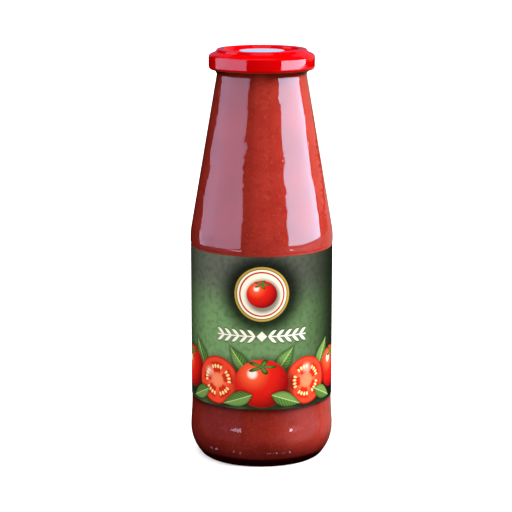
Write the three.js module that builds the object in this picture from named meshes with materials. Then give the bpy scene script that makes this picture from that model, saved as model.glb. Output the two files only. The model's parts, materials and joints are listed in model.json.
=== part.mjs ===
// Passata bottle: clear glass with a conical shoulder, full of sieved tomato, shut by a lacquered
// twist-off lid and wrapped in a paper label. Millimetres, +Z up. The origin is the middle of the
// base, on the surface that the bottle stands on.
import * as THREE from "three";

// Outside of the glass
const HEEL_RADIUS = 38.1; // the widest part
const PANEL_RADIUS = 37.45; // sunk band that carries the label
const SHOULDER_RADIUS = 37.8; // ring above the label
const NECK_RADIUS = 23.46; // groove at the top of the cone
const FINISH_RADIUS = 24.9; // band of glass that the lid closes on
const LIP_RADIUS = 22.8; // glass round the mouth
const FOOT_RADIUS = 32; // outer edge of the ring that stands on the table
const PUNT_RADIUS = 27.6; // inner edge of that ring
const GLASS_HEIGHT = 216;
const FINISH_TOP = 213.4;
const NECK_HEIGHT = 204.4;
const CONE_FOOT = 120.9;
const PANEL_TOP = 115.1;
const PANEL_FOOT = 25.84;
const HEEL_TOP = 18.1;
const HEEL_CORNER = 8.2; // where the heel's upright wall would meet its sloping foot
const PUNT_RISE = 4; // how far the base is pushed up in the middle
const PANEL_STEP = 0.8; // height over which the panel steps out to the shoulder
const FINISH_STEP = 2.4; // height over which the neck swells to the finish
const LIP_STEP = 1.4; // height over which the finish narrows to the lip

// Roundings of the glass
const FOOT_ROUNDING = 3.6;
const HEEL_ROUNDING = 21;
const HEEL_TOP_ROUNDING = 70;
const PANEL_FOOT_ROUNDING = 115;
const SHOULDER_ROUNDING = 34;
const NECK_ROUNDING = 2;
const FINISH_ROUNDING = 1.2;
const LIP_ROUNDING = 1;
const PUNT_ROUNDING = 8;

// Inside of the glass
const WALL = 2.1;
const MOUTH_RADIUS = 20.5;
const FLOOR_HEIGHT = 7.7; // middle of the floor
const FLOOR_RADIUS = 19; // where the floor starts to fall towards the heel
const VALLEY_RADIUS = 29.6; // lowest ring of the floor
const VALLEY_HEIGHT = 4.2;
const INNER_HEEL = 11.2; // where the inner wall would meet the sloping floor
const INNER_HEEL_ROUNDING = 16;
const INNER_NECK_ROUNDING = 12;

// Contents
const CLEARANCE = 0.3; // between the food and the glass
const HEADSPACE = 3.8; // from the food up to the lip

// Label
const LABEL_FOOT = 33.2;
const LABEL_HEIGHT = 81;
const GLUE = 0.05;
const PAPER = 0.15;

// Lid
const LID_RADIUS = 27.75;
const LID_TOP = 217.3;
const LID_HEIGHT = 10.5;
const SHEET = 0.5; // lacquered steel with its lining
const LEDGE_DROP = 1.45; // ledge below the raised ring
const LEDGE_RADIUS = 24.2;
const LEDGE_FALL = 1.55; // how far the ledge falls to the edge of the lid
const RING_OUTER = 23.3; // raised ring over the lip
const RING_INNER = 20.1;
const RING_SLOPE = 0.9; // width of the ring's inner slope
const PANEL_DROP = 1.5; // sunk panel below the raised ring
const BUTTON_RADIUS = 11.8;
const BUTTON_RISE = 0.5;
const BUTTON_SLOPE = 0.9; // width of the slope round the button
const CURL_INNER = 25.5; // inside of the rolled rim
const CURL_HEIGHT = 2.3;
const CURL_SLOPE = 0.7; // height over which the curl returns to the skirt
const CURL_ROUNDING = 1.8;
const CURL_INNER_ROUNDING = 1;
const LID_EDGE_ROUNDING = 1.8;
const PRESSED_ROUNDING = 0.6; // folds of the pressed sheet

// How finely round shapes are cut
const FACETS = 48; // round the axis
const ARC_ACCURACY = 0.12; // furthest that a chord lies from its arc

// Points along the arc that rounds a corner off, tangent to the lines to both its neighbours.
function cornerArc(before, corner, after, rounding) {
  const back = before.clone().sub(corner).normalize();
  const ahead = after.clone().sub(corner).normalize();
  const halfAngle = back.angleTo(ahead) / 2;
  const inward = back.clone().add(ahead).normalize();
  const centre = corner.clone().addScaledVector(inward, rounding / Math.sin(halfAngle));
  const start = corner.clone().addScaledVector(back, rounding / Math.tan(halfAngle));
  const turn = Math.sign(ahead.cross(back)) * (Math.PI - 2 * halfAngle);
  const longestStep = 2 * Math.acos(Math.max(0, 1 - ARC_ACCURACY / rounding));
  const steps = Math.ceil(Math.abs(turn) / longestStep);
  return Array.from({ length: steps + 1 }, (_, k) => start.clone().rotateAround(centre, (turn * k) / steps));
}

// An outline through corners of [radius, height, rounding]. A corner with no rounding stays sharp.
function roundedOutline(corners) {
  const places = corners.map(([radius, height]) => new THREE.Vector2(radius, height));
  return corners.flatMap(([, , rounding], i) =>
    rounding ? cornerArc(places[i - 1], places[i], places[i + 1], rounding) : [places[i]],
  );
}

// A solid turned from such an outline, standing along +Z.
function turned(name, corners, material) {
  const geometry = new THREE.LatheGeometry(roundedOutline(corners), FACETS);
  geometry.rotateX(Math.PI / 2);
  const mesh = new THREE.Mesh(geometry, material);
  mesh.name = name;
  return mesh;
}

// Corners of the space inside the glass, from the middle of its floor up to the neck, kept a gap
// away from the wall. The inner cone lies parallel to the outer one.
function cavity(gap) {
  const slope = (SHOULDER_RADIUS - NECK_RADIUS) / (NECK_HEIGHT - CONE_FOOT);
  const coneFootRadius = SHOULDER_RADIUS - (WALL + gap) * Math.hypot(1, slope);
  const heightOnCone = (radius) => CONE_FOOT + (coneFootRadius - radius) / slope;
  const wall = PANEL_RADIUS - WALL - gap;
  const mouth = MOUTH_RADIUS - gap;
  return [
    [0, FLOOR_HEIGHT + gap],
    [FLOOR_RADIUS, FLOOR_HEIGHT + gap, INNER_HEEL_ROUNDING],
    [VALLEY_RADIUS, VALLEY_HEIGHT + gap, FOOT_ROUNDING],
    [wall, INNER_HEEL, INNER_HEEL_ROUNDING],
    [wall, heightOnCone(wall), SHOULDER_ROUNDING],
    [mouth, heightOnCone(mouth), INNER_NECK_ROUNDING],
  ];
}

// The glass, from the middle of its base up the outside, over the lip and down the inside.
function glassBottle() {
  const outside = [
    [0, PUNT_RISE],
    [PUNT_RADIUS - PUNT_RISE, PUNT_RISE, PUNT_ROUNDING],
    [PUNT_RADIUS, 0, LIP_ROUNDING],
    [FOOT_RADIUS, 0, FOOT_ROUNDING],
    [HEEL_RADIUS, HEEL_CORNER, HEEL_ROUNDING],
    [HEEL_RADIUS, HEEL_TOP, HEEL_TOP_ROUNDING],
    [PANEL_RADIUS, PANEL_FOOT, PANEL_FOOT_ROUNDING],
    [PANEL_RADIUS, PANEL_TOP],
    [SHOULDER_RADIUS, PANEL_TOP + PANEL_STEP],
    [SHOULDER_RADIUS, CONE_FOOT, SHOULDER_ROUNDING],
    [NECK_RADIUS, NECK_HEIGHT, NECK_ROUNDING],
    [FINISH_RADIUS, NECK_HEIGHT + FINISH_STEP, FINISH_ROUNDING],
    [FINISH_RADIUS, FINISH_TOP],
    [LIP_RADIUS, FINISH_TOP + LIP_STEP],
    [LIP_RADIUS, GLASS_HEIGHT, LIP_ROUNDING],
    [MOUTH_RADIUS, GLASS_HEIGHT, LIP_ROUNDING],
  ];
  const glass = new THREE.MeshStandardMaterial({
    color: 0xeef3f0,
    roughness: 0.05,
    metalness: 0,
    transparent: true,
    opacity: 0.35,
  });
  return turned("glass_bottle", [...outside, ...cavity(0).reverse()], glass);
}

// The food fills the glass up to just below the lip.
function passata() {
  const level = GLASS_HEIGHT - HEADSPACE;
  const corners = [...cavity(CLEARANCE), [MOUTH_RADIUS - CLEARANCE, level], [0, level]];
  const tomato = new THREE.MeshStandardMaterial({ color: 0xa62d22, roughness: 0.4, metalness: 0 });
  return turned("passata", corners, tomato);
}

// A paper sleeve round the sunk band of the glass.
function label() {
  const inner = PANEL_RADIUS + GLUE;
  const outer = inner + PAPER;
  const top = LABEL_FOOT + LABEL_HEIGHT;
  const corners = [
    [inner, LABEL_FOOT],
    [outer, LABEL_FOOT],
    [outer, top],
    [inner, top],
    [inner, LABEL_FOOT],
  ];
  const paper = new THREE.MeshStandardMaterial({ color: 0x3f5a3a, roughness: 0.45, metalness: 0 });
  return turned("label", corners, paper);
}

// One pressed sheet: a sunk panel with its button, a raised ring over the lip, a ledge, a skirt and
// a rolled rim. The outline runs from the underside out to the rim and back over the top.
function lid() {
  const panel = LID_TOP - PANEL_DROP;
  const ledge = LID_TOP - LEDGE_DROP;
  const rim = LID_TOP - LID_HEIGHT;
  const skirt = LID_RADIUS - SHEET;
  const underside = [
    [0, panel - SHEET],
    [RING_INNER - RING_SLOPE + SHEET / 2, panel - SHEET],
    [RING_INNER + SHEET / 2, LID_TOP - SHEET],
    [RING_OUTER - SHEET / 2, LID_TOP - SHEET],
    [LEDGE_RADIUS - SHEET / 2, ledge - SHEET],
    [skirt, ledge - LEDGE_FALL - SHEET, LID_EDGE_ROUNDING - SHEET],
    [skirt, rim + CURL_HEIGHT + CURL_SLOPE],
    [CURL_INNER, rim + CURL_HEIGHT, PRESSED_ROUNDING],
    [CURL_INNER, rim, CURL_INNER_ROUNDING],
  ];
  const top = [
    [LID_RADIUS, rim, CURL_ROUNDING],
    [LID_RADIUS, ledge - LEDGE_FALL, LID_EDGE_ROUNDING],
    [LEDGE_RADIUS, ledge, PRESSED_ROUNDING],
    [RING_OUTER, LID_TOP, PRESSED_ROUNDING],
    [RING_INNER, LID_TOP, PRESSED_ROUNDING],
    [RING_INNER - RING_SLOPE, panel, PRESSED_ROUNDING],
    [BUTTON_RADIUS + BUTTON_SLOPE, panel, PRESSED_ROUNDING],
    [BUTTON_RADIUS, panel + BUTTON_RISE, PRESSED_ROUNDING],
    [0, panel + BUTTON_RISE],
  ];
  const lacquer = new THREE.MeshStandardMaterial({ color: 0xd8060f, roughness: 0.18, metalness: 0 });
  return turned("lid", [...underside, ...top], lacquer);
}

const bottle = new THREE.Group();
bottle.add(glassBottle(), passata(), label(), lid());

export default bottle;
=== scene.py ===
# %% [markdown]
# # A bottle of passata
# The packed model gives every piece of the bottle its true size and place, as plain facets. This
# lesson makes each piece again with a finer surface, gives it its finish and lights it as in a small
# studio. Blender measures in metres, +Z points up and the front of the label faces -Y. Sizes are
# written in millimetres, as a maker would measure them, and are turned into metres where they are used.

# %% Load the frame
import json
import math

import bpy
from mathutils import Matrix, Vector


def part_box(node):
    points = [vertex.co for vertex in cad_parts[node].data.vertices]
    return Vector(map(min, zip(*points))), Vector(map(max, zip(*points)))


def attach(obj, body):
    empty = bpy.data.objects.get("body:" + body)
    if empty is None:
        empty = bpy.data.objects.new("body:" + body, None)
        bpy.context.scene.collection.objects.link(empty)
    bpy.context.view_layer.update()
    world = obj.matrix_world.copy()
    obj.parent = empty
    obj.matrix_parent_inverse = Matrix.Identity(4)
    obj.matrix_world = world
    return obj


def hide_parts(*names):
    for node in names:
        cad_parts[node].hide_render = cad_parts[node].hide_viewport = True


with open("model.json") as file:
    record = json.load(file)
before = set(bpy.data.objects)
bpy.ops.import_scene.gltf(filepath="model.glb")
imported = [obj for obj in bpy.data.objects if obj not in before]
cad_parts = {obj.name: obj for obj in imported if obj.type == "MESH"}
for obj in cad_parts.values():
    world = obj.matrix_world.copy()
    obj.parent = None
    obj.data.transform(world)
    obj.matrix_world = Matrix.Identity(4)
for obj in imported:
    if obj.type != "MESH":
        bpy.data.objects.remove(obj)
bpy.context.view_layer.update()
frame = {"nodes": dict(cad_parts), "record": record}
MM = 0.001
print("nodes in the frame:", sorted(frame["nodes"]))

# %% [markdown]
# ## Camera
# A product picture is taken from a distance with a long lens, so that the bottle's sides stay nearly
# parallel. The camera stands a little above the lid and is tipped down, which shows the lid's top as a
# thin ellipse. It comes first, because the lights are placed by what the camera sees mirrored in the glass.

# %% Camera
CAMERA_PLACE = (-0.0030, -0.9598, 0.3040)
CAMERA_TIP = math.radians(11.59)
LENS = 129.5  # in millimetres, as it is written on a real lens
SENSOR = 36
bpy.ops.object.camera_add(location=CAMERA_PLACE, rotation=(math.pi / 2 - CAMERA_TIP, 0, 0))
camera = bpy.context.object
camera.name = "camera"
camera.data.sensor_width = SENSOR
camera.data.lens = LENS
bpy.context.scene.camera = camera
print("camera at", CAMERA_PLACE, "sees", round(math.degrees(camera.data.angle), 1), "degrees")

# %% [markdown]
# ## Turning a piece from its outline
# Glass, lid and contents are all round, so each is turned, as on a lathe. By hand one would draw half of
# the cross-section as a wire, one extruded vertex after another, round its corners with vertex bevels and
# spin it about the axis. A stack of scaled cylinders would be quicker, but would have no true roundings.
# A corner is written as radius, height and rounding.

# %% Start a wire and pick from it
def outline_place(radius, height):
    """A place of the outline, given in millimetres, in the plane where y is 0."""
    return Vector((radius * MM, 0, height * MM))


def start_wire(name, place):
    """A small plane merged to its middle is one vertex, the start of a wire. Leaves edit mode on."""
    bpy.ops.object.select_all(action="DESELECT")
    bpy.ops.mesh.primitive_plane_add(size=MM, location=place)
    bpy.context.object.name = name
    bpy.ops.object.transform_apply(location=True, rotation=False, scale=False)
    bpy.ops.object.mode_set(mode="EDIT")
    bpy.ops.mesh.select_mode(type="VERT")
    bpy.ops.mesh.select_all(action="SELECT")
    bpy.ops.mesh.merge(type="CENTER")
    return bpy.context.object


def pick(piece, kind, wanted):
    """Selects the wanted vertices ("VERT") or faces ("FACE") and nothing else. Leaves edit mode on."""
    bpy.ops.object.mode_set(mode="EDIT")
    bpy.ops.mesh.select_mode(type=kind)
    bpy.ops.mesh.select_all(action="DESELECT")
    bpy.ops.object.mode_set(mode="OBJECT")
    for item in piece.data.vertices if kind == "VERT" else piece.data.polygons:
        item.select = wanted(item)
    bpy.ops.object.mode_set(mode="EDIT")


print("a radius and a height of 1 mm lie at", tuple(outline_place(1, 1)), "m")

# %% Round a corner
ARC_LENGTH = 1.2  # longest step along a rounding
ARC_TURN = math.radians(8)  # and the most that it may turn
NEAR = 0.002 * MM


def arc_profile(turn):
    """The bevel draws part of an ellipse. This profile puts its middle on the true circle."""
    return (1 - 0.5 / (1 + math.cos(turn / 2))) ** 2


def round_corner(piece, before, corner, after):
    """A vertex bevel makes the arc that touches the lines to both neighbours."""
    radius, height, rounding = corner
    place = Vector((radius, height))
    turn = math.pi - (Vector(before[:2]) - place).angle(Vector(after[:2]) - place)
    target = outline_place(radius, height)
    pick(piece, "VERT", lambda vertex: (vertex.co - target).length < NEAR)
    bpy.ops.mesh.bevel(
        affect="VERTICES",
        offset_type="OFFSET",
        offset=rounding * math.tan(turn / 2) * MM,
        segments=max(2, math.ceil(turn * rounding / ARC_LENGTH), math.ceil(turn / ARC_TURN)),
        profile=arc_profile(turn),
    )


print("a square corner becomes a quarter circle with a profile of", round(arc_profile(math.pi / 2), 3))

# %% Spin the wire
STEPS_ROUND = 192
SHARP = math.radians(40)


def turned(name, corners):
    """A closed piece turned from an outline that starts and ends on the axis."""
    piece = start_wire(name, outline_place(*corners[0][:2]))
    for here, there in zip(corners, corners[1:]):
        step = outline_place(*there[:2]) - outline_place(*here[:2])
        bpy.ops.mesh.extrude_vertices_move(TRANSFORM_OT_translate={"value": step})
    for before, corner, after in zip(corners, corners[1:], corners[2:]):
        if len(corner) == 3:
            round_corner(piece, before, corner, after)
    bpy.ops.mesh.select_all(action="SELECT")
    bpy.ops.mesh.spin(steps=STEPS_ROUND, angle=math.tau, center=(0, 0, 0), axis=(0, 0, 1))
    bpy.ops.mesh.select_all(action="SELECT")
    bpy.ops.mesh.remove_doubles(threshold=NEAR)
    bpy.ops.mesh.normals_make_consistent(inside=False)
    bpy.ops.object.mode_set(mode="OBJECT")
    bpy.ops.object.shade_smooth_by_angle(angle=SHARP)
    return piece


print("one step of a spin turns by", 360 / STEPS_ROUND, "degrees")

# %% Stand for a node of the frame
def place_in_frame(piece, node):
    """The piece stands for a node of the frame, rides on its one body and prints its faces and size."""
    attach(piece, "root")
    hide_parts(node)
    size = ", ".join(f"{side / MM:.1f}" for side in piece.dimensions)
    print(f"{piece.name}: {len(piece.data.polygons)} faces, {size} mm")


# %% [markdown]
# ## Glass
# The bottle is blown in a mould: a heel, a sunk band that protects the label, a ring above it, a long
# cone and a swollen finish that the lid grips. Its wall is thick, because light bends in it, so the
# outline runs up the outside, over the lip and down the inside. A single sheet with a thin-glass
# material would be lighter, but the base would not turn dark as thick glass does.

# %% Outline of the space inside
WALL = 2.1
PANEL_RADIUS = 37.45  # sunk band behind the label
SHOULDER_RADIUS = 37.8
NECK_RADIUS = 23.46
MOUTH_RADIUS = 20.5
CONE_FOOT = 120.9
NECK_HEIGHT = 204.4
FLOOR_HEIGHT = 7.7
FLOOR_RADIUS = 19
VALLEY_RADIUS = 29.6  # lowest ring of the floor
VALLEY_HEIGHT = 4.2
INNER_HEEL = 11.2
INNER_HEEL_ROUNDING = 16
FOOT_ROUNDING = 3.6
SHOULDER_ROUNDING = 34
INNER_NECK_ROUNDING = 12


def cavity(gap):
    """Corners from the middle of the glass floor up to the neck, a gap inside the glass."""
    slope = (SHOULDER_RADIUS - NECK_RADIUS) / (NECK_HEIGHT - CONE_FOOT)
    cone_foot = SHOULDER_RADIUS - (WALL + gap) * math.hypot(1, slope)
    wall = PANEL_RADIUS - WALL - gap
    mouth = MOUTH_RADIUS - gap
    return [
        (0, FLOOR_HEIGHT + gap),
        (FLOOR_RADIUS, FLOOR_HEIGHT + gap, INNER_HEEL_ROUNDING),
        (VALLEY_RADIUS, VALLEY_HEIGHT + gap, FOOT_ROUNDING),
        (wall, INNER_HEEL, INNER_HEEL_ROUNDING),
        (wall, CONE_FOOT + (cone_foot - wall) / slope, SHOULDER_ROUNDING),
        (mouth, CONE_FOOT + (cone_foot - mouth) / slope, INNER_NECK_ROUNDING),
    ]


print("the inner cone ends at", round(cavity(0)[-1][1], 1), "mm")

# %% Foot and heel of the outside
HEEL_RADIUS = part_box("glass_bottle")[1].x / MM
HEEL_CORNER = 8.2  # where the upright heel would meet its sloping foot
HEEL_ROUNDING = 21
HEEL_TOP = 18.1
HEEL_TOP_ROUNDING = 70
PANEL_FOOT = 25.84
PANEL_FOOT_ROUNDING = 115
FOOT_RADIUS = 32
PUNT_RADIUS = 27.6  # the base is pushed up inside this ring
PUNT_RISE = 4
PUNT_ROUNDING = 8
PUNT_EDGE = 1
foot = [
    (0, PUNT_RISE),
    (PUNT_RADIUS - PUNT_RISE, PUNT_RISE, PUNT_ROUNDING),
    (PUNT_RADIUS, 0, PUNT_EDGE),
    (FOOT_RADIUS, 0, FOOT_ROUNDING),
    (HEEL_RADIUS, HEEL_CORNER, HEEL_ROUNDING),
    (HEEL_RADIUS, HEEL_TOP, HEEL_TOP_ROUNDING),
    (PANEL_RADIUS, PANEL_FOOT, PANEL_FOOT_ROUNDING),
]
print("the heel is", round(2 * HEEL_RADIUS, 1), "mm across")

# %% Shoulder, cone and finish of the outside
GLASS_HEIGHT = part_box("glass_bottle")[1].z / MM
PANEL_TOP = 115.1
PANEL_STEP = 0.8
STEP_ROUNDING = 0.4
NECK_ROUNDING = 2
FINISH_RADIUS = 24.9
FINISH_TOP = 213.4
FINISH_STEP = 2.4
FINISH_ROUNDING = 1.2
LIP_RADIUS = 22.8
LIP_STEP = 1.4
LIP_STEP_ROUNDING = 0.5
LIP_ROUNDING = 1
neck = [
    (PANEL_RADIUS, PANEL_TOP, STEP_ROUNDING),
    (SHOULDER_RADIUS, PANEL_TOP + PANEL_STEP, STEP_ROUNDING),
    (SHOULDER_RADIUS, CONE_FOOT, SHOULDER_ROUNDING),
    (NECK_RADIUS, NECK_HEIGHT, NECK_ROUNDING),
    (FINISH_RADIUS, NECK_HEIGHT + FINISH_STEP, FINISH_ROUNDING),
    (FINISH_RADIUS, FINISH_TOP, LIP_STEP_ROUNDING),
    (LIP_RADIUS, FINISH_TOP + LIP_STEP, LIP_STEP_ROUNDING),
    (LIP_RADIUS, GLASS_HEIGHT, LIP_ROUNDING),
    (MOUTH_RADIUS, GLASS_HEIGHT, LIP_ROUNDING),
]
glass = turned("clear_glass", foot + neck + cavity(0)[::-1])
print("the glass is", round(GLASS_HEIGHT, 1), "mm high")

# %% Raise the pips on the heel
PIP_SLOTS = 64  # evenly spaced places round the heel, of which some hold a pip
PIP_CODE = (-8, -7, -4, -3, 1, 2, 3, 4)  # the places filled at the front, and again at the back
PIP_HEIGHT = 8.4
PIP_RADIUS = 36.9
PIP_STEPS = ((0.16, 0.0), (0.12, 0.24), (0.22, 0.26), (0.26, 0.19), (0.24, 0.06))  # inset and rise of each
middles = set()
for slot in PIP_CODE + tuple(slot + PIP_SLOTS // 2 for slot in PIP_CODE):
    around = math.tau * slot / PIP_SLOTS
    pip = Vector((math.sin(around) * PIP_RADIUS, -math.cos(around) * PIP_RADIUS, PIP_HEIGHT)) * MM
    middles.add(min(glass.data.vertices, key=lambda vertex: (vertex.co - pip).length).index)
pick(glass, "FACE", lambda face: not middles.isdisjoint(face.vertices))
for inset, rise in PIP_STEPS:
    bpy.ops.mesh.inset(thickness=inset * MM, depth=rise * MM)
bpy.ops.object.mode_set(mode="OBJECT")
print(len(middles), "pips on the heel")
place_in_frame(glass, "glass_bottle")

# %% [markdown]
# ## Contents
# Passata is sieved tomato, thick and opaque, and it wets the glass all over. Between two surfaces that
# only touch, a render shows a silvery film of air. So the contents are turned from the same inner outline,
# let a tenth of a millimetre into the wall, and end in a shallow hollow surface just under the lip.

# %% Turn the contents
INTO_WALL = 0.1
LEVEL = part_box("passata")[1].z / MM
MENISCUS = 0.5
MENISCUS_WIDTH = 2
MENISCUS_ROUNDING = 1.5
surface = [
    (MOUTH_RADIUS + INTO_WALL, LEVEL),
    (MOUTH_RADIUS - MENISCUS_WIDTH, LEVEL - MENISCUS, MENISCUS_ROUNDING),
    (0, LEVEL - MENISCUS),
]
passata = turned("tomato_passata", cavity(-INTO_WALL) + surface)
place_in_frame(passata, "passata")

# %% [markdown]
# ## Lid
# A twist-off lid is pressed from one sheet of lacquered steel. From the middle out it has a button that
# would spring up when the vacuum is lost, a sunk panel, a raised ring over the lip, a sloping ledge, a
# skirt and a rolled rim. It could be a cylinder with bevels, but then light would not run along the folds.

# %% Underside and rolled rim
LID_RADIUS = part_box("lid")[1].x / MM
LID_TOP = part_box("lid")[1].z / MM
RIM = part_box("lid")[0].z / MM
SHEET = 0.5
PANEL_DROP = 1.5
PANEL = LID_TOP - PANEL_DROP
LEDGE_DROP = 1.45
LEDGE = LID_TOP - LEDGE_DROP
LEDGE_RADIUS = 24.2
LEDGE_FALL = 1.55
RING_OUTER = 23.3
RING_INNER = 20.1
SLOPE = 0.9  # width of the pressed slopes
EDGE_ROUNDING = 1.8
FOLD = 0.6
UNDER_FOLD = 0.3
CURL_INNER = 25.5
CURL_HEIGHT = 2.3
CURL_SLOPE = 0.7
CURL_INNER_ROUNDING = 1
skirt = LID_RADIUS - SHEET
underside = [
    (0, PANEL - SHEET),
    (RING_INNER - SLOPE + SHEET / 2, PANEL - SHEET, UNDER_FOLD),
    (RING_INNER + SHEET / 2, LID_TOP - SHEET, UNDER_FOLD),
    (RING_OUTER - SHEET / 2, LID_TOP - SHEET, UNDER_FOLD),
    (LEDGE_RADIUS - SHEET / 2, LEDGE - SHEET, UNDER_FOLD),
    (skirt, LEDGE - LEDGE_FALL - SHEET, EDGE_ROUNDING - SHEET),
    (skirt, RIM + CURL_HEIGHT + CURL_SLOPE),
    (CURL_INNER, RIM + CURL_HEIGHT, FOLD),
    (CURL_INNER, RIM, CURL_INNER_ROUNDING),
]
print("the lid is", round(LID_TOP - RIM, 1), "mm high")

# %% Top, and turn the lid
BUTTON_RADIUS = 11.8
BUTTON_RISE = 0.5
CURL_ROUNDING = 1.8
top = [
    (LID_RADIUS, RIM, CURL_ROUNDING),
    (LID_RADIUS, LEDGE - LEDGE_FALL, EDGE_ROUNDING),
    (LEDGE_RADIUS, LEDGE, FOLD),
    (RING_OUTER, LID_TOP, FOLD),
    (RING_INNER, LID_TOP, FOLD),
    (RING_INNER - SLOPE, PANEL, FOLD),
    (BUTTON_RADIUS + SLOPE, PANEL, FOLD),
    (BUTTON_RADIUS, PANEL + BUTTON_RISE, FOLD),
    (0, PANEL + BUTTON_RISE),
]
lid = turned("red_lid", underside + top)
place_in_frame(lid, "lid")

# %% [markdown]
# ## Label
# The label is one strip of paper, wound round the sunk band and glued to itself at the back. An upright
# edge is spun nearly once round the axis, and its last edge is extruded on over the start, a paper's
# thickness further out. A closed tube would be simpler, but a real label shows that overlap.

# %% Wind the strip
LABEL_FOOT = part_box("label")[0].z / MM
LABEL_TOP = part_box("label")[1].z / MM
LABEL_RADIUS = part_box("label")[1].x / MM
PAPER = 0.15
STRIP_RADIUS = LABEL_RADIUS - PAPER
STRIP_STEP = math.radians(2)
WOUND = 178  # steps that lie on the glass
TONGUE = (0.5, 1, 1, 1, 1, 1)  # how far each further step is lifted, in papers and their glue
LIFT = 0.18


def strip_place(turn, lift):
    """A point at the foot of the strip, a turn on from the back and lifted off it."""
    radius = STRIP_RADIUS + lift * LIFT
    return Vector((math.sin(turn) * radius, math.cos(turn) * radius, LABEL_FOOT)) * MM


label = start_wire("paper_label", strip_place(0, 0))
upright = Vector((0, 0, LABEL_TOP - LABEL_FOOT)) * MM
bpy.ops.mesh.extrude_vertices_move(TRANSFORM_OT_translate={"value": upright})
bpy.ops.mesh.select_all(action="SELECT")
bpy.ops.mesh.spin(steps=WOUND, angle=WOUND * STRIP_STEP, center=(0, 0, 0), axis=(0, 0, 1))
last = strip_place(WOUND * STRIP_STEP, 0)
for step, lift in enumerate(TONGUE, start=WOUND + 1):
    here = strip_place(step * STRIP_STEP, lift)
    bpy.ops.mesh.extrude_region_move(TRANSFORM_OT_translate={"value": here - last})
    last = here
bpy.ops.object.mode_set(mode="OBJECT")
print("the strip is", round((WOUND + len(TONGUE)) * STRIP_STEP * STRIP_RADIUS, 1), "mm long")

# %% Unroll the strip into its UV map
HALF_PRINT = 125  # the map is this wide on each side of the front's middle
PRINT_HEIGHT = LABEL_TOP - LABEL_FOOT
print_map = label.data.uv_layers.new(name="print")
for face in label.data.polygons:
    middle = math.atan2(face.center.x, face.center.y) % math.tau
    lifted = math.hypot(face.center.x, face.center.y) > (STRIP_RADIUS + LIFT / 2) * MM
    if lifted and middle < math.pi:
        middle += math.tau
    for corner in face.loop_indices:
        co = label.data.vertices[label.data.loops[corner].vertex_index].co
        turn = middle + math.remainder(math.atan2(co.x, co.y) - middle, math.tau)
        across = (math.pi - turn) * STRIP_RADIUS / HALF_PRINT
        print_map.uv[corner].vector = (0.5 + across / 2, (co.z / MM - LABEL_FOOT) / PRINT_HEIGHT)
spread = [point.vector[0] for point in print_map.uv]
print("the strip fills the map from", round(min(spread), 3), "to", round(max(spread), 3))

# %% Give the paper its thickness
solidify = label.modifiers.new("paper", "SOLIDIFY")
solidify.thickness = PAPER * MM
solidify.offset = 1
bpy.ops.object.modifier_apply(modifier=solidify.name)
bpy.ops.object.shade_smooth_by_angle(angle=SHARP)
place_in_frame(label, "label")

# %% [markdown]
# ## Fields: a short way to write materials
# A material is a net of nodes. Wired by hand in the node editor each Math node is a few clicks, but in a
# script a long net is hard to read. So a small class holds one output of a node, and its sums, products
# and mixes add the nodes that they need. What follows then reads as a formula over the surface.

# %% Fields
class Field:
    """A number or colour that varies over a surface: one output of a node in a tree."""

    def __init__(self, tree, socket):
        self.tree = tree
        self.socket = socket

    def feed(self, socket, value):
        """Links a field to a socket, or sets the socket to a plain value."""
        if isinstance(value, Field):
            self.tree.links.new(value.socket, socket)
        else:
            socket.default_value = value

    def node(self, kind, inputs, output=0, **settings):
        """Adds a node, feeds its numbered or named inputs and returns one of its outputs."""
        node = self.tree.nodes.new("ShaderNode" + kind)
        for name, value in settings.items():
            setattr(node, name, value)
        for key, value in inputs.items():
            self.feed(node.inputs[key], value)
        return Field(self.tree, node.outputs[output])

    def math(self, operation, other=0.0):
        return self.node("Math", {0: self, 1: other}, operation=operation)

    def __add__(self, other):
        return self.math("ADD", other)

    def __sub__(self, other):
        return self.math("SUBTRACT", other)

    def __mul__(self, other):
        return self.math("MULTIPLY", other)

    def __abs__(self):
        return self.math("ABSOLUTE")

    def between(self, low, high):
        """0 at low and 1 at high, with a smooth change. Low may be the larger one."""
        sockets = {"Value": self, "From Min": low, "From Max": high}
        return self.node("MapRange", sockets, interpolation_type="SMOOTHSTEP")

    def plain(self, colour):
        """One colour all over, for others to be laid on."""
        start = self.node("RGB", {})
        start.socket.default_value = colour
        return start

    def mix(self, colour, amount):
        """This colour with another one laid over it."""
        return self.node("Mix", {0: amount, 6: self, 7: colour}, output=2, data_type="RGBA")

    def noise(self, scale, detail=2.0):
        """Soft random values from 0 to 1 over this place, most of them from 0.3 to 0.7."""
        return self.node("TexNoise", {"Vector": self, "Scale": scale, "Detail": detail})

    def part(self, axis):
        """One of the three numbers of a place."""
        return self.node("SeparateXYZ", {0: self}, output=axis)


print("methods of a field:", ", ".join(name for name in vars(Field) if not name.startswith("_")))

# %% Distances and colours
def radius_of(x, y):
    """Distance from the origin of x and y."""
    return (x * x + y * y).math("SQRT")


def ink(red, green, blue):
    """A colour as a paint program gives it, from 0 to 255, as the linear light that nodes use."""
    shares = [value / 255 for value in (red, green, blue)]
    return tuple(c / 12.92 if c < 0.04 else ((c + 0.055) / 1.055) ** 2.4 for c in shares) + (1,)


print("mid grey as linear light:", round(ink(128, 128, 128)[0], 3))

# %% Start a finish
def finish(name, piece, **constants):
    """A new material on the piece, with its shader's constants set. Returns the shader and its place."""
    material = bpy.data.materials.new(name)
    material.use_nodes = True
    tree = material.node_tree
    shader = tree.nodes["Principled BSDF"]
    for socket, value in constants.items():
        shader.inputs[socket.replace("_", " ")].default_value = value
    piece.data.materials.clear()
    piece.data.materials.append(material)
    place = tree.nodes.new("ShaderNodeTexCoord").outputs["Object"]
    return shader, Field(tree, place)


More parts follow.
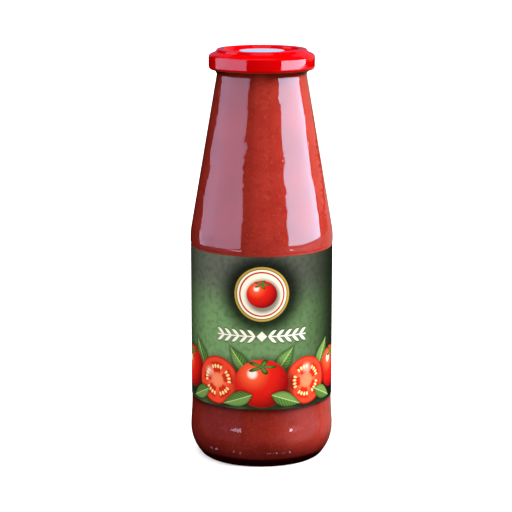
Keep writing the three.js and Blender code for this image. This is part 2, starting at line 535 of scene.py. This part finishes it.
def bumped(shader, height, distance):
    """Lets the light see a height, given in metres, that is too fine to model."""
    bump = height.node("Bump", {"Height": height, "Distance": distance, "Strength": 1.0}, output="Normal")
    bump.feed(shader.inputs["Normal"], bump)


for row in frame["record"]["materials"]:
    print("finish of the", row["slot"] + ":", row["finish"])

# %% [markdown]
# ## Finish of the glass
# Blown glass is clear and smooth, but never quite flat: reflections of straight lamps have slightly wavy
# edges, most of all on the cone. The shader lets light through and bends it. A lamp's light would not find
# its way along a bent path, so for the rays that look for lamps the glass is simply transparent.

# %% Glass
WAVE_SCALE = 45  # about 20 mm from wave to wave
RIPPLE_SCALE = 300  # and finer ripples between them
RIPPLE_SHARE = 0.2
WAVE_HEIGHT = 0.75
CALM = 0.03  # share of the waves that is left on the heel
CALM_BELOW = 112
WAVY_ABOVE = 150
shader, place = finish(
    "blown_glass", glass, Base_Color=(0.98, 1, 0.99, 1), Roughness=0.0, IOR=1.5, Transmission_Weight=1.0
)
waves = place.noise(WAVE_SCALE, 1.0) + place.noise(RIPPLE_SCALE, 1.0) * RIPPLE_SHARE
drawn = place.part(2).between(CALM_BELOW * MM, WAVY_ABOVE * MM) * (1 - CALM) + CALM
bumped(shader, waves * drawn, WAVE_HEIGHT * MM)
lamp_rays = place.node("LightPath", {}, output="Is Shadow Ray")
bent = Field(place.tree, shader.outputs[0])
clear = place.node("BsdfTransparent", {})
either = place.node("MixShader", {0: lamp_rays, 1: bent, 2: clear})
either.feed(place.tree.nodes["Material Output"].inputs["Surface"], either)
print("glass bends light by", round(shader.inputs["IOR"].default_value, 2))

# %% [markdown]
# ## Finish of the passata
# Sieved tomato is an even red, a little darker and lighter in clouds, with fine grains of pulp and a few
# pale or orange specks. All of it is noise of different sizes over the object's own place. Down in the
# corner of the base the glass shows no light behind the food, so the lowest part is painted nearly black
# as painted shade.

# %% Passata
CLOUD_SCALE = 70  # noise of this scale changes about every 14 mm
FLECK_SCALE = 330
PULP_SCALE = 900
SPECK_SCALE = 420  # one cell, which may hold a speck, about every 2.4 mm
PAINTED_SHADE_BELOW = 4.3
RED_ABOVE = 5.0
PULP_HEIGHT = 0.05
shader, place = finish("sieved_tomato", passata, Specular_IOR_Level=0.1)
clouds = place.noise(CLOUD_SCALE, 3.0)
flecks = place.noise(FLECK_SCALE, 2.0)
pulp = place.noise(PULP_SCALE, 2.0)
cells = {"Vector": place, "Scale": SPECK_SCALE}
speck_near = place.node("TexVoronoi", cells, output="Distance")
speck_kind = place.node("TexVoronoi", cells, output="Color").part(0)
specks = speck_near.between(0.14, 0.07) * speck_kind.between(0.74, 0.78)
colour = place.plain(ink(192, 63, 51))
colour = colour.mix(ink(178, 54, 44), clouds.between(0.35, 0.7))
colour = colour.mix(ink(166, 44, 38), flecks.between(0.5, 0.72) * 0.45)
colour = colour.mix(ink(212, 88, 64), pulp.between(0.54, 0.75) * 0.5)
colour = colour.mix(ink(226, 130, 84), specks * 0.55)
# painted shade: below this height the food is darkened to nearly black, where the thick base lets no light
# reach it
colour = colour.mix(ink(60, 12, 14), place.part(2).between(RED_ABOVE * MM, PAINTED_SHADE_BELOW * MM))
colour.feed(shader.inputs["Base Color"], colour)
wet = pulp * 0.3 + 0.4
wet.feed(shader.inputs["Roughness"], wet)
bumped(shader, pulp, PULP_HEIGHT * MM)
print("passata may have specks", round(1 / SPECK_SCALE / MM, 1), "mm apart")

# %% [markdown]
# ## Finish of the lid
# The steel is lacquered a glossy red, with a pale disc printed on the button. At the rolled rim a thin
# golden-brown band is painted. Handling leaves the gloss a little uneven.

# %% Lacquered lid
HANDLED_SCALE = 160
LACQUER_SCALE = 700
LACQUER_HEIGHT = 0.003
DISC_EDGE = 0.25
DISC_FOOT = PANEL + 0.1  # the disc's colour ends on the slope round the button
GOLD_TOP = RIM + 0.5
PRINT_EDGE = 0.2
shader, place = finish("red_lacquer", lid, IOR=1.45)
from_axis = radius_of(place.part(0), place.part(1))
height = place.part(2)
handled = place.noise(HANDLED_SCALE, 3.0)
colour = place.plain(ink(181, 0, 2))
colour = colour.mix(ink(168, 0, 2), handled.between(0.3, 0.75) * 0.5)
disc = from_axis.between(BUTTON_RADIUS * MM, (BUTTON_RADIUS - DISC_EDGE) * MM)
disc = disc * height.between(DISC_FOOT * MM, (DISC_FOOT + PRINT_EDGE) * MM)
colour = colour.mix(ink(160, 206, 234), disc)
# a thin golden-brown band painted along the lowest half millimetre of the rolled rim
gold = height.between(GOLD_TOP * MM, (GOLD_TOP - PRINT_EDGE) * MM)
colour = colour.mix(ink(120, 66, 26), gold)
colour.feed(shader.inputs["Base Color"], colour)
gloss = handled * 0.06 + 0.04
gloss.feed(shader.inputs["Roughness"], gloss)
bumped(shader, place.noise(LACQUER_SCALE, 2.0), LACQUER_HEIGHT * MM)
print("the lid's disc is", 2 * BUTTON_RADIUS, "mm across")

# %% [markdown]
# ## Print of the label
# The paper is printed in greens, reds and cream: a dark head with a round badge, a twig below it, and a
# heap of tomatoes and leaves along the foot. It could be cut from coloured faces, but then every curve
# would need its own edges. Here each motif is a stamp: a node group that draws one thing over the colour
# below it, in an x and y of its own that mostly run from -1 to 1. A Mapping node moves, turns and scales
# the stamp on the unrolled strip.

# %% Make and press stamps
def stamp(name, draw):
    """A node group that takes the colour below and a place, and returns the colour with a motif on it."""
    tree = bpy.data.node_groups.new(name, "ShaderNodeTree")
    tree.interface.new_socket("Below", in_out="INPUT", socket_type="NodeSocketColor")
    tree.interface.new_socket("Place", in_out="INPUT", socket_type="NodeSocketVector")
    tree.interface.new_socket("Colour", in_out="OUTPUT", socket_type="NodeSocketColor")
    entry = tree.nodes.new("NodeGroupInput")
    leave = tree.nodes.new("NodeGroupOutput")
    below = Field(tree, entry.outputs["Below"])
    place = Field(tree, entry.outputs["Place"])
    drawn = draw(below, place.part(0), place.part(1))
    drawn.feed(leave.inputs["Colour"], drawn)
    print("stamp", name, "has", len(tree.nodes), "nodes")
    return tree


def press(group, below, where, middle, size, turn=0):
    """Presses a stamp on the print: its middle and size in millimetres, its turn in degrees."""
    moved = {
        "Vector": where,
        "Location": (*middle, 0),
        "Rotation": (0, 0, math.radians(turn)),
        "Scale": (size, size, 1),
    }
    place = below.node("Mapping", moved, vector_type="TEXTURE")
    return below.node("Group", {"Below": below, "Place": place}, node_tree=group)


print("stamps may cover", round(math.tau * STRIP_RADIUS), "by", round(PRINT_HEIGHT), "mm")

# %% A whole tomato
def shadow(below, x, y):
    """Darkens the print softly to the lower right of a round motif."""
    return below.mix(ink(18, 14, 10), radius_of(x - 0.08, y + 0.12).between(1.3, 0.9) * 0.75)


def draw_tomato(below, x, y):
    """A flattened ball, lit from the upper left, with a calyx of five sepals."""
    body = radius_of(x, y * 1.1)
    light = radius_of(x + 0.34, y - 0.36)
    skin = below.plain(ink(206, 28, 20))
    skin = skin.mix(ink(238, 92, 52), light.between(0.75, 0.1))
    skin = skin.mix(ink(120, 8, 10), light.between(0.7, 1.45))
    skin = skin.mix(ink(255, 232, 220), light.between(0.24, 0.1) * 0.85)
    colour = shadow(below, x, y).mix(skin, body.between(1.0, 0.96))
    up = (y - 0.62) * 1.9
    sepals = abs((up.math("ARCTAN2", x) * 2.5).math("COSINE"))
    calyx = radius_of(x, up) - sepals * sepals * 0.42
    colour = colour.mix(ink(38, 66, 24), calyx.between(0.17, 0.11))
    return colour.mix(ink(96, 132, 58), calyx.between(0.06, -0.1) * 0.8)


whole = stamp("whole_tomato", draw_tomato)

# %% A tomato cut in half
CHAMBERS = 5
SEEDS = 25


def draw_half(below, x, y):
    """A disc with a thin skin, a pale core and chambers that hold a ring of seeds."""
    out = radius_of(x, y)
    turn = y.math("ARCTAN2", x)
    face = below.plain(ink(170, 16, 14))
    face = face.mix(ink(226, 66, 42), out.between(0.97, 0.9))
    face = face.mix(ink(240, 132, 92), out.between(0.62, 0.1))
    walls = (turn * CHAMBERS).math("COSINE").between(-0.75, -0.4)
    hollow = walls * out.between(0.26, 0.36) * out.between(0.8, 0.7)
    face = face.mix(ink(196, 40, 16), hollow)
    share = (turn * (SEEDS / math.tau)).math("FRACT") - 0.5
    seed = radius_of(share * 0.9, (out - 0.57) * 4.2)
    face = face.mix(ink(246, 214, 148), seed.between(0.4, 0.26) * hollow)
    gloss = radius_of(x + 0.3, y - 0.42)
    face = face.mix(ink(255, 226, 206), gloss.between(0.3, 0.05) * 0.45)
    return shadow(below, x, y).mix(face, out.between(1.0, 0.97))


half = stamp("half_tomato", draw_half)

# %% A leaf
VEINS = 4.5


def draw_leaf(below, x, y):
    """A pointed blade along x, with its light side up, a midrib and slanting veins."""
    from_rib = abs(y)
    width = (x * x * -1 + 1) * (x * -0.16 + 0.44).math("MAXIMUM", 0.1)
    blade = below.plain(ink(70, 108, 44))
    blade = blade.mix(ink(116, 150, 78), y.between(-0.02, 0.02) * 0.7)
    vein = abs(((x - from_rib * 0.9) * VEINS).math("FRACT") - 0.5)
    blade = blade.mix(ink(158, 184, 116), vein.between(0.1, 0.0) * 0.6)
    blade = blade.mix(ink(176, 198, 130), from_rib.between(0.035, 0.012))
    blade = blade.mix(ink(44, 76, 32), (width - from_rib).between(0.16, 0.0) * 0.6)
    colour = below.mix(ink(16, 18, 10), (from_rib - width).between(0.22, -0.05) * 0.7)
    return colour.mix(blade, (from_rib - width).between(0.012, -0.012))


leaf = stamp("leaf", draw_leaf)

# %% The badge
def draw_badge(below, x, y):
    """A cream disc with a gold edge and a thin red ring, in a pool of shade."""
    out = radius_of(x, y)
    colour = below.mix(ink(8, 11, 8), out.between(1.85, 1.05) * 0.92)
    colour = colour.mix(ink(176, 142, 62), out.between(1.0, 0.98))
    colour = colour.mix(ink(112, 84, 30), out.between(0.93, 0.91))
    colour = colour.mix(ink(236, 228, 206), out.between(0.9, 0.88))
    return colour.mix(ink(178, 26, 24), abs(out - 0.79).between(0.035, 0.02))


badge = stamp("badge", draw_badge)

# %% The twig
TWIG_START = 3.4
TWIG_END = 24.4
TWIG_LEAF = 4.2


def draw_twig(below, x, y):
    """A cream stem with paired leaves that point outwards from a lozenge, in millimetres."""
    away = abs(x)
    off = abs(y)
    along = ((away - TWIG_START) * (1 / TWIG_LEAF)).math("FRACT")
    fat = (along * math.pi).math("SINE") * 1.05
    leaves = fat - abs(off - along * 3.0 - 0.3)
    inside = away.between(TWIG_START - 0.1, TWIG_START + 0.1) * away.between(TWIG_END, TWIG_END - 0.2)
    colour = below.mix(ink(16, 24, 12), (leaves + 0.8).between(-0.2, 0.8) * inside * 0.7)
    cream = leaves.between(-0.1, 0.1).math("MAXIMUM", off.between(0.4, 0.25)) * inside
    cream = cream.math("MAXIMUM", (away + off).between(2.8, 2.6))
    return colour.mix(ink(238, 230, 214), cream)


twig = stamp("twig", draw_twig)

# %% [markdown]
# ## Printed paper
# The green ground is greyer and darker at its head, darker at its foot and darker at both sides, and a
# little mottled. The grey of the head is partly print and partly a painted haze of the soft boxes'
# reflection, and the darkening at both sides is painted shade, strongest on the right. The stamps are
# pressed on it one over another, from the back of the heap to its front. The back of the label is a cream
# panel with a gold line. The paper is matt, so the lamps don't show in it as they do in the glass.

# %% The green ground
MOTTLE_SCALE = 0.35  # over millimetres of print, so about 3 mm from patch to patch
PAINTED_SHADE_GREEN = ink(20, 28, 16)
shader, place = finish("printed_paper", label, Specular_IOR_Level=0.0)
tree = place.tree
unrolled = Field(tree, tree.nodes.new("ShaderNodeUVMap").outputs["UV"])
unrolled.socket.node.uv_map = print_map.name
across = (unrolled.part(0) - 0.5) * (2 * HALF_PRINT)
up = unrolled.part(1) * PRINT_HEIGHT
where = place.node("CombineXYZ", {0: across, 1: up})
colour = place.plain(ink(112, 146, 96))
# print and painted reflection: the head turns a darker grey-green, partly the dark print and partly a painted
# haze of the soft boxes' reflection
colour = colour.mix(ink(92, 96, 84), up.between(46, 72))
colour = colour.mix(ink(58, 80, 44), up.between(28, 6) * 0.8)
# painted shade: the ground darkens towards both sides of the front, most on the right
colour = colour.mix(PAINTED_SHADE_GREEN, across.between(-16, 58) * 0.86)
colour = colour.mix(PAINTED_SHADE_GREEN, across.between(-28, -54) * 0.8)
colour = colour.mix(ink(14, 20, 10), across.between(24, 50) * 0.9)
mottle = where.noise(MOTTLE_SCALE, 4.0)
colour = colour.mix(ink(24, 32, 20), mottle.between(0.42, 0.72) * 0.3)
print("the ground has", len(tree.nodes), "nodes")

# %% Press the motifs
BADGE = (0, 61.5)
BADGE_RADIUS = 14.5
BADGE_TOMATO = 0.56 * BADGE_RADIUS
TWIG = (0, 39.2)
# Each motif of the heap is written as its place across and up, its size and its turn.
BACK_LEAVES = ((-12, 26, 8.5, 125), (12, 26, 8.5, 55), (-37, 26, 9.5, 118), (37, 26, 9.5, 62))
SIDE_TOMATOES = ((-48, 17, 12.5, 10), (48, 17, 12.5, -10))
HALVES = ((-25, 14, 13, 20), (25, 14, 13, -35))
FRONT_TOMATO = ((0, 14, 14.5, 0),)
FRONT_LEAVES = ((-13, 5, 8.5, 200), (13, 5, 8.5, -20), (-38, 5, 8, 205), (38, 5, 8, -25))
colour = press(badge, colour, where, BADGE, BADGE_RADIUS)
colour = press(whole, colour, where, BADGE, BADGE_TOMATO)
colour = press(twig, colour, where, TWIG, 1)
heap = [(leaf, BACK_LEAVES), (whole, SIDE_TOMATOES), (half, HALVES)]
heap += [(whole, FRONT_TOMATO), (leaf, FRONT_LEAVES)]
for group, motifs in heap:
    for across_at, up_at, size, turn in motifs:
        colour = press(group, colour, where, (across_at, up_at), size, turn)
print("the heap has", sum(len(motifs) for _, motifs in heap), "motifs")

# %% The back panel
PANEL_EDGE = 76  # from the front's middle, along the paper
PANEL_MARGIN = 5
LINE_INSET = 2.2
LINE_WIDTH = 0.6
SOFT = 0.3


def inside_panel(inset):
    """1 inside the back panel, this far from its edge, and 0 outside."""
    sides = abs(across).between(PANEL_EDGE + inset, PANEL_EDGE + inset + SOFT)
    low = PANEL_MARGIN + inset
    high = PRINT_HEIGHT - low
    return sides * up.between(low, low + SOFT) * up.between(high, high - SOFT)


colour = colour.mix(ink(226, 220, 200), inside_panel(0))
line = inside_panel(LINE_INSET) - inside_panel(LINE_INSET + LINE_WIDTH)
colour = colour.mix(ink(172, 146, 84), line)
print("the cream panel is", round(2 * (math.pi * STRIP_RADIUS - PANEL_EDGE), 1), "mm wide")

# %% Paper grain
GRAIN_SCALE = 2600
COCKLE_SCALE = 60  # paper glued to glass is never quite flat
COCKLE_SHARE = 6.0
GRAIN_HEIGHT = 0.01
grain = place.noise(GRAIN_SCALE, 2.0)
colour = colour.mix(ink(250, 246, 236), grain.between(0.62, 0.8) * 0.06)
colour.feed(shader.inputs["Base Color"], colour)
matt = grain * 0.2 + 0.4
matt.feed(shader.inputs["Roughness"], matt)
bumped(shader, grain + place.noise(COCKLE_SCALE, 1.0) * COCKLE_SHARE, GRAIN_HEIGHT * MM)
print("the printed paper has", len(tree.nodes), "nodes and stamps")

# %% [markdown]
# ## Floor
# A pale sheet runs under the bottle and fills the picture. It is kept out of reflections and out of the
# light that bounces, so that the glass stays dark where it mirrors no lamp.

# %% Floor
FLOOR_SIZE = 12
CLOTH_SCALE = 2  # faint patches, half a metre apart
PALE = (0.9, 0.9, 0.9, 1)
LESS_PALE = (0.88, 0.88, 0.88, 1)
bpy.ops.object.select_all(action="DESELECT")
bpy.ops.mesh.primitive_plane_add(size=FLOOR_SIZE)
floor = bpy.context.object
floor.name = "floor"
floor.visible_glossy = False
floor.visible_diffuse = False
floor.visible_transmission = False
shader, place = finish("pale_floor", floor, Roughness=0.9, Specular_IOR_Level=0.0)
colour = place.plain(PALE).mix(LESS_PALE, place.noise(CLOTH_SCALE, 2.0))
colour.feed(shader.inputs["Base Color"], colour)
print("floor of", tuple(round(side) for side in floor.dimensions[:2]), "m")

# %% [markdown]
# ## Soft boxes
# Two tall soft boxes stand left and right of the bottle, and the right one is the brighter. The glass and
# the lid mirror them as upright bands with sharp edges. One area lamp could do both jobs, but then a band's
# brightness would also set the shading. So here the boxes are glowing cards that show in reflections and
# light nothing, and the lamps that follow light the bottle and show in nothing. Small cards make the glints
# on the heel, and wide dim ones stand for the pale walls of the studio.
#
# The right box is in two parts. Seen from behind, the flat top of the lid would mirror the upper part as one
# white patch, so light linking keeps that part out of the lid.

# %% A glowing card
SHOULDER_HEIGHT = 0.118  # the cards are measured from here, because their lower edges show here
MIDDLE = (-0.3, 0.3)  # part of a card over which its glow changes, where 0.5 is the head


def around_bottle(azimuth, distance, height):
    """A place at an angle in degrees from the front, to the right as the camera sees it."""
    return math.sin(math.radians(azimuth)) * distance, -math.cos(math.radians(azimuth)) * distance, height


def soft_box(name, azimuths, elevations, glow, facing, distance,
             foot=1.0, head=1.0, side=1.0, fade=MIDDLE):
    """A card that fills these ranges of angles, in degrees, as seen from the bottle. It is nearest to the
    bottle where it faces it, and may glow by another share at its foot, head or left side."""
    left, right = (distance * math.tan(math.radians(azimuth - facing)) for azimuth in azimuths)
    low, high = (distance * math.tan(math.radians(elevation)) for elevation in elevations)
    place = around_bottle(facing, distance, SHOULDER_HEIGHT)
    bpy.ops.mesh.primitive_plane_add(size=1, location=place, rotation=(math.pi / 2, 0, math.radians(facing)))
    card = bpy.context.object
    card.name = name
    card.scale = (right - left, high - low, 1)
    shift = Vector(((left + right) / 2, (low + high) / 2, 0))
    card.location += card.rotation_euler.to_matrix() @ shift
    card.visible_camera = False
    card.visible_diffuse = False
    card.visible_transmission = False
    card.visible_shadow = False
    shader, place = finish(name, card, Base_Color=(0, 0, 0, 1), Emission_Color=(*glow, 1))
    upright = place.part(1).between(*fade) * (head - foot) + foot
    sideways = place.part(0).between(-0.5, 0.0) * (1 - side) + side
    strength = upright * sideways
    strength.feed(shader.inputs["Emission Strength"], strength)
    card.active_material.cycles.emission_sampling = "NONE"
    print(f"{name}: {right - left:.2f} by {high - low:.2f} m")
    return card


def keep_out_of(card, piece):
    """Light linking: this piece doesn't mirror the card."""
    blind = bpy.data.collections.new(card.name + "_blind")
    blind.objects.link(piece)
    blind.collection_objects[0].light_linking.link_state = "EXCLUDE"
    card.light_linking.receiver_collection = blind


print("cards are measured from", SHOULDER_HEIGHT, "m above the floor")

# %% The two boxes
RIGHT_SPAN = (42.5, 109)
RIGHT_SPLIT = 7  # elevation at which the upper part of the right box starts
RIGHT_GLOW = (3.8, 9.6, 12.6)
RIGHT_HIGH_FADE = (-0.5, 0.25)  # carries on where the lower part ends
soft_box("left_box", (-118, -33), (-11.9, 50), (3.4, 2.9, 4.3), facing=-65, distance=1.15, head=0.5, side=0.6)
soft_box("right_box", RIGHT_SPAN, (-8.2, RIGHT_SPLIT), RIGHT_GLOW, facing=50, distance=3.0)
right_high_box = soft_box("right_high_box", RIGHT_SPAN, (RIGHT_SPLIT, 50), RIGHT_GLOW,
                          facing=50, distance=3.0, head=0.5, fade=RIGHT_HIGH_FADE)
keep_out_of(right_high_box, lid)
soft_box("left_low_box", (-118, -66), (-12.0, -2), (2.7, 2.3, 3.4), facing=-100, distance=1.12)

# %% Glints on the heel
GLINT_DISTANCE = 1.15
soft_box("left_glint", (-56, -32.5), (-13.6, -12.3), (4.6, 4.0, 5.4), -33, GLINT_DISTANCE, side=0.4)
soft_box("left_streak", (-95, -56), (-14.6, -12.4), (0.3, 0.32, 0.55), -60, GLINT_DISTANCE)
soft_box("right_glint", (45, 49.5), (-13.4, -12.2), (18, 15, 19), 47, GLINT_DISTANCE)
soft_box("right_streak", (49.5, 92), (-14.5, -12.0), (1.2, 1.1, 1.3), 50, GLINT_DISTANCE)

# %% Dim walls, floor and ceiling of the studio
soft_box("left_foot", (-118, -33), (-30, -14), (0.08, 0.09, 0.14), facing=-65, distance=1.15, foot=0.0)
soft_box("right_foot", (15, 110.5), (-35, -8.6), (0.4, 0.7, 0.8), facing=50, distance=3.0, foot=0.0, side=0.0)
soft_box("right_wall", (112, 168), (-2.2, 40), (0.3, 0.3, 0.22), facing=140, distance=2.0)
soft_box("right_low_wall", (110.5, 168), (-35, -4.6), (0.3, 0.3, 0.26), facing=140, distance=2.0, foot=0.0)
soft_box("back_wall", (150, 210), (3, 45), (0.06, 0.09, 0.2), facing=180, distance=1.5)
soft_box("top_box", (-40, 40), (50, 78), (0.5, 0.6, 0.8), facing=0, distance=1.0)

# %% [markdown]
# ## Lamps
# The light on the bottle comes mostly from the right and from above, with a weak fill from the front and
# from below. A very wide sun stands for the bright ceiling. The lamps are kept out of reflections.

# %% Lamps that light the bottle
CONE_HEIGHT = 0.16  # at which the lamps are aimed


def add_lamp(name, kind, place, rotation):
    """A lamp that lights the bottle but isn't mirrored in it, nor seen through the glass."""
    bpy.ops.object.light_add(type=kind, location=place, rotation=rotation)
    lamp = bpy.context.object
    lamp.name = name
    lamp.visible_camera = False
    lamp.visible_transmission = False
    lamp.visible_glossy = False
    return lamp


def soft_lamp(name, azimuth, distance, height, size, brightness):
    """A square lamp. Brightness 1 makes a white card at the cone, turned to the lamp, just white."""
    drop = math.atan2(height - CONE_HEIGHT, distance)
    place = around_bottle(azimuth, distance, height)
    lamp = add_lamp(name, "AREA", place, (math.pi / 2 - drop, 0, math.radians(azimuth)))
    lamp.data.size = size
    reach = math.hypot(distance, height - CONE_HEIGHT)
    lamp.data.energy = brightness * (math.pi * reach) ** 2
    print(f"{name}: {lamp.data.energy:.1f} W from {reach:.2f} m")


soft_lamp("right_key", azimuth=80, distance=0.8, height=0.6, size=0.4, brightness=1.36)
soft_lamp("left_key", azimuth=-80, distance=0.8, height=0.42, size=0.4, brightness=0.15)
soft_lamp("front_fill", azimuth=5, distance=0.3, height=0.24, size=0.2, brightness=0.31)
soft_lamp("low_fill", azimuth=30, distance=0.5, height=0.0, size=0.2, brightness=0.19)

# %% Skylight
SKY_PLACE = (0, 0, 2)  # only its direction counts, which is straight down
SKY_ANGLE = 130
SKY_STRENGTH = 5.5
skylight = add_lamp("skylight", "SUN", SKY_PLACE, (0, 0, 0))
skylight.data.angle = math.radians(SKY_ANGLE)
skylight.data.energy = SKY_STRENGTH
print("skylight:", SKY_STRENGTH, "W for each square metre, over", SKY_ANGLE, "degrees")

# %% [markdown]
# ## World
# The world is what rays meet that hit nothing else. It gives a weak even light from all sides, looks nearly
# white to the camera, like the floor, and is dark red to rays that have passed through the glass, which
# otherwise would carry a white light into its base.

# %% World
AMBIENT = (0.3, 0.3, 0.3, 1)
BACKDROP = (0.95, 0.95, 0.95, 1)
BEHIND_GLASS = ink(40, 13, 20)
world = bpy.data.worlds.new("studio")
bpy.context.scene.world = world
world.use_nodes = True
ambient = world.node_tree.nodes["Background"]
ambient.inputs["Color"].default_value = AMBIENT
sky = Field(world.node_tree, ambient.outputs[0])
for rays, seen in (("Is Camera Ray", BACKDROP), ("Is Transmission Ray", BEHIND_GLASS)):
    chosen = sky.node("LightPath", {}, output=rays)
    sky = sky.node("MixShader", {0: chosen, 1: sky, 2: sky.node("Background", {"Color": seen})})
sky.feed(world.node_tree.nodes["World Output"].inputs["Surface"], sky)
world.cycles_visibility.glossy = False
bpy.context.scene.view_settings.view_transform = "Standard"
print("world:", len(world.node_tree.nodes), "nodes")

# %% [markdown]
